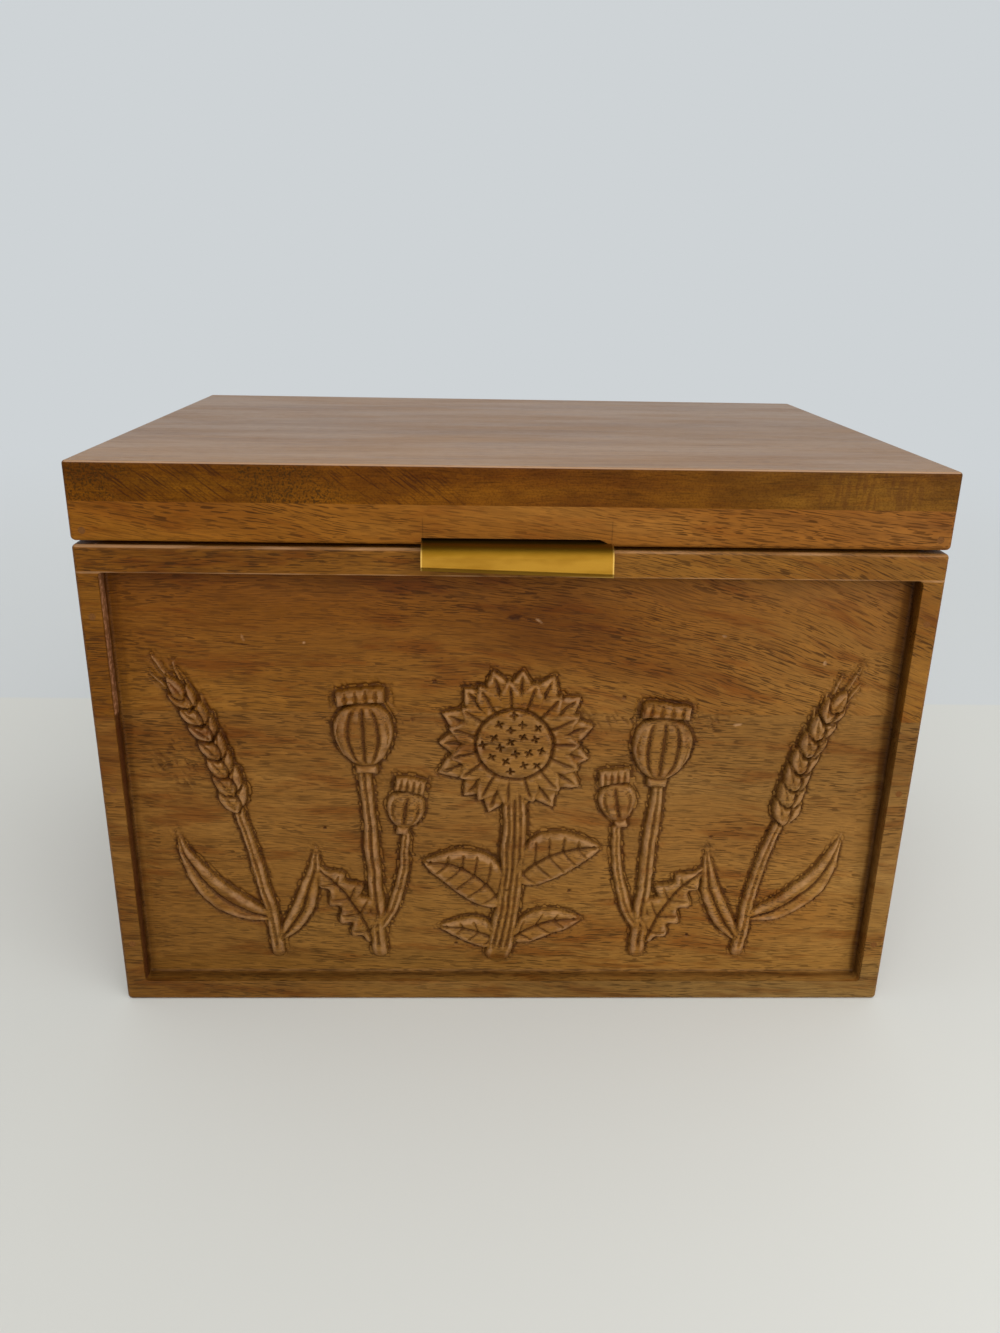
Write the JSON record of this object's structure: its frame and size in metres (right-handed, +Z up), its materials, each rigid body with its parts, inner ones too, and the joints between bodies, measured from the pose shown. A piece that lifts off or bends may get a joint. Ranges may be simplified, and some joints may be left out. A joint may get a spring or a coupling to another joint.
{
  "type": "seed storage box",
  "caption": "Wooden box with a hinged lid, a carved front panel, a brass finger pull and inner rows for seed packets.",
  "frame": {"origin": "centre of the wooden footprint, on the plane that the box stands on", "axes": "front faces -Y, +X to the right of someone facing the front, +Z up"},
  "size_m": [0.3, 0.2202, 0.2125],
  "materials": {
    "front_upper_wood": "satin oil",
    "front_lower_wood": "satin oil",
    "wall_wood": "satin oil",
    "inner_wood": "bare, lightly oiled",
    "lid_wood": "satin oil",
    "rail_wood": "satin oil",
    "filler": "dull wood filler",
    "steel": "bright wire nails",
    "hinge_brass": "plain brass",
    "pull_brass": "satin brass",
    "pad": "soft pad"
  },
  "bodies": {
    "box": {"front_upper_board": "front_upper_wood", "front_lower_board": "front_lower_wood", "back_upper_board": "wall_wood", "back_lower_board": "wall_wood", "left_upper_board": "wall_wood", "left_lower_board": "wall_wood", "right_upper_board": "wall_wood", "right_lower_board": "wall_wood", "bottom_panel": "inner_wood", "partition": "inner_wood", "front_corner_nails": "steel", "back_corner_nails": "steel", "box_nail_filler": "filler", "bottom_brads": "steel", "left_hinge_box_leaf": "hinge_brass", "right_hinge_box_leaf": "hinge_brass", "hinge_pins": "hinge_brass", "hinge_screws_box": "hinge_brass", "lid_bumpers": "pad"},
    "lid": {"lid_front_board": "lid_wood", "lid_middle_board": "lid_wood", "lid_back_board": "lid_wood", "lid_front_rail": "rail_wood", "lid_back_rail": "rail_wood", "lid_left_rail": "rail_wood", "lid_right_rail": "rail_wood", "lid_rail_nails": "steel", "lid_nail_filler": "filler", "left_hinge_lid_leaf": "hinge_brass", "right_hinge_lid_leaf": "hinge_brass", "hinge_screws_lid": "hinge_brass", "pull_plate": "pull_brass", "pull_screws": "pull_brass"}
  },
  "joints": [
    {"name": "lid_hinge", "type": "hinge", "parent": "box", "child": "lid", "pos_m": [0, 0.1046, 0.18495], "axis": [-1, 0, 0], "range_deg": [0, 105]}
  ]
}
